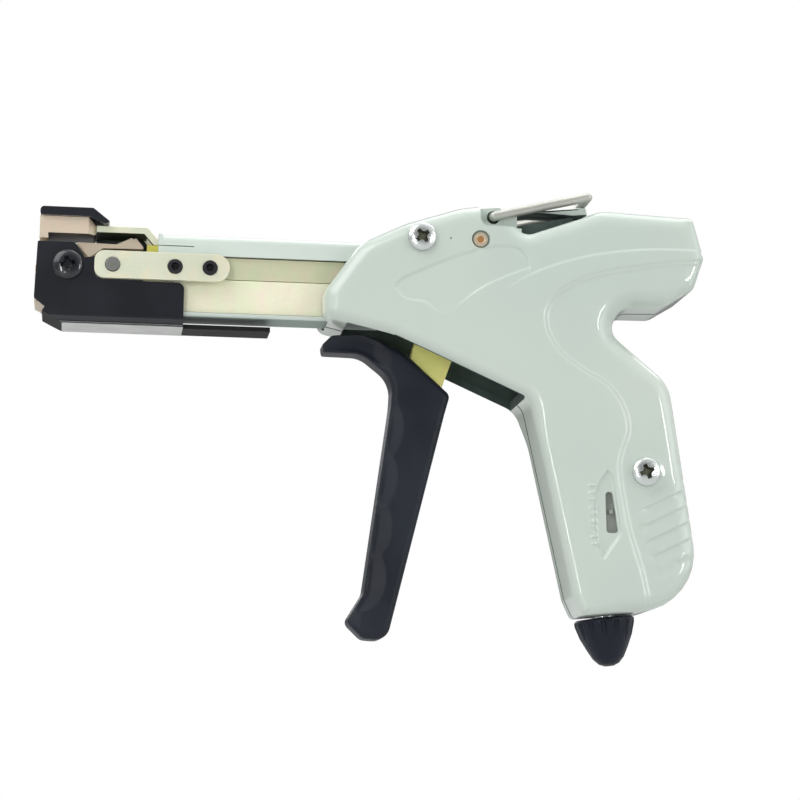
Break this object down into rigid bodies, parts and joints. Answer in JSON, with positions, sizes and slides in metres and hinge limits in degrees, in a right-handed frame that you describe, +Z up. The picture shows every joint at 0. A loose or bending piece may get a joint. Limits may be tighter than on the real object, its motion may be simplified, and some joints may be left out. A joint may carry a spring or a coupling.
{
  "type": "cable tie tensioning tool",
  "caption": "Pistol-shaped hand tool that pulls a cable tie tight and trims its tail: painted casing, squeeze trigger, open barrel, gripping nose, tension knob and folding bail.",
  "frame": {"origin": "middle of the slit in the nose that the tie's strap goes through, at the nose's front face, in the plane where the casing halves meet", "axes": "+X from the nose to the rear of the casing, +Z up, +Y from the pictured side to the far side"},
  "size_m": [0.1795, 0.0321, 0.1274],
  "materials": {
    "shell_paint": "gloss, pale sage green",
    "barrel_paint": "gloss, pale sage green",
    "zinc_yellow": "yellow passivated zinc, satin",
    "link_plate": "pale zinc plate, satin",
    "bright_steel": "ground, satin",
    "screw_steel": "bright plated",
    "spring_steel": "oiled",
    "nose_steel": "warm nickel plate, satin",
    "black_oxide": "satin black",
    "trigger_black": "moulded, fine grain",
    "knob_black": "moulded, ribbed",
    "brass": "turned",
    "bail_wire": "plated wire",
    "rivet_dark": "darkened"
  },
  "bodies": {
    "frame": {"near_shell": "shell_paint", "far_shell": "shell_paint", "shell_screws": "screw_steel", "barrel_channel": "barrel_paint", "guide_rail": "zinc_yellow", "anvil_plate": "link_plate", "nose_block": "nose_steel", "nose_cap": "black_oxide", "side_links": "link_plate", "link_rivets": "rivet_dark", "cutter_pivot_pins": "rivet_dark", "trigger_pivot_pin": "brass", "pivot_bushes": "bright_steel", "trigger_spring": "spring_steel", "rocker_pin": "bright_steel", "main_spring": "spring_steel", "thrust_washer": "brass"},
    "trigger": {"trigger_lever": "zinc_yellow", "trigger_sleeve": "trigger_black", "sleeve_pin": "bright_steel", "drive_pin": "bright_steel", "drive_rollers": "bright_steel"},
    "pull_bar": {"pull_bar": "zinc_yellow", "pawl_pin": "bright_steel", "pawl_spring": "spring_steel"},
    "pawl": {"gripping_pawl": "nose_steel"},
    "cutter_head": {"cutter_head": "black_oxide", "cutter_block": "link_plate", "cutter_blade": "bright_steel", "blade_screw": "black_oxide", "blade_nut": "black_oxide", "push_pin": "bright_steel"},
    "cut_off_bar": {"cut_off_bar": "zinc_yellow"},
    "trip_rocker": {"trip_rocker": "bright_steel"},
    "spring_cap": {"spring_cap": "bright_steel"},
    "seat_nut": {"seat_nut": "brass"},
    "tension_knob": {"tension_knob": "knob_black", "tension_rod": "bright_steel", "rod_clip": "spring_steel"},
    "carry_bail": {"carry_bail": "bail_wire"}
  },
  "joints": [
    {"name": "trigger_squeeze", "type": "hinge", "parent": "frame", "child": "trigger", "pos_m": [0.1172, 0, 0.0029], "axis": [0, -1, 0], "range_deg": [0, 22], "stiffness_Nm_per_rad": 1.5, "springref_deg": -20.05, "deforming": ["trigger_spring"]},
    {"name": "pull_bar_slide", "type": "slide", "parent": "frame", "child": "pull_bar", "axis": [1, 0, 0], "range_m": [0, 0.0064]},
    {"name": "pawl_tilt", "type": "hinge", "parent": "pull_bar", "child": "pawl", "pos_m": [0.0136, 0, -0.0017], "axis": [0, 1, 0], "range_deg": [0, 4], "stiffness_Nm_per_rad": 0.05, "springref_deg": -17.19, "deforming": ["pawl_spring"]},
    {"name": "tension_trip", "type": "hinge", "parent": "frame", "child": "trip_rocker", "pos_m": [0.13148, 0, -0.00652], "axis": [0, 1, 0], "range_deg": [0, 5.01], "deforming": ["main_spring"]},
    {"name": "cut_off_slide", "type": "slide", "parent": "frame", "child": "cut_off_bar", "axis": [-1, 0, 0], "range_m": [0, 0.000863], "stiffness_N_per_m": 6134, "springref_m": -0.00297},
    {"name": "cutter_head_swing", "type": "hinge", "parent": "frame", "child": "cutter_head", "pos_m": [0.0195, 0, -0.0067], "axis": [0, 1, 0], "range_deg": [0, 4.6]},
    {"name": "spring_cap_slide", "type": "slide", "parent": "frame", "child": "spring_cap", "axis": [0.1219, 0, -0.9925], "range_m": [0, 0.00101]},
    {"name": "tension_knob_turn", "type": "hinge", "parent": "frame", "child": "tension_knob", "pos_m": [0.1538, 0, -0.09649], "axis": [-0.1219, 0, 0.9925], "range_deg": [-720, 720]},
    {"name": "seat_nut_slide", "type": "slide", "parent": "frame", "child": "seat_nut", "axis": [-0.1219, 0, 0.9925], "range_m": [-0.00399, 0.00399]},
    {"name": "bail_swing", "type": "hinge", "parent": "frame", "child": "carry_bail", "pos_m": [0.12148, 0, 0.0103], "axis": [0, -1, 0], "range_deg": [0, 110]}
  ],
  "couplings": [
    {"joint": "pull_bar_slide", "follows": "trigger_squeeze", "m_per_rad": 0.016474},
    {"joint": "tension_trip", "follows": "cut_off_slide", "rad_per_m": 101.11},
    {"joint": "cutter_head_swing", "follows": "cut_off_slide", "rad_per_m": 91},
    {"joint": "spring_cap_slide", "follows": "cut_off_slide", "ratio": 1.1314},
    {"joint": "tension_knob_turn", "follows": "seat_nut_slide", "rad_per_m": 3141.7}
  ]
}
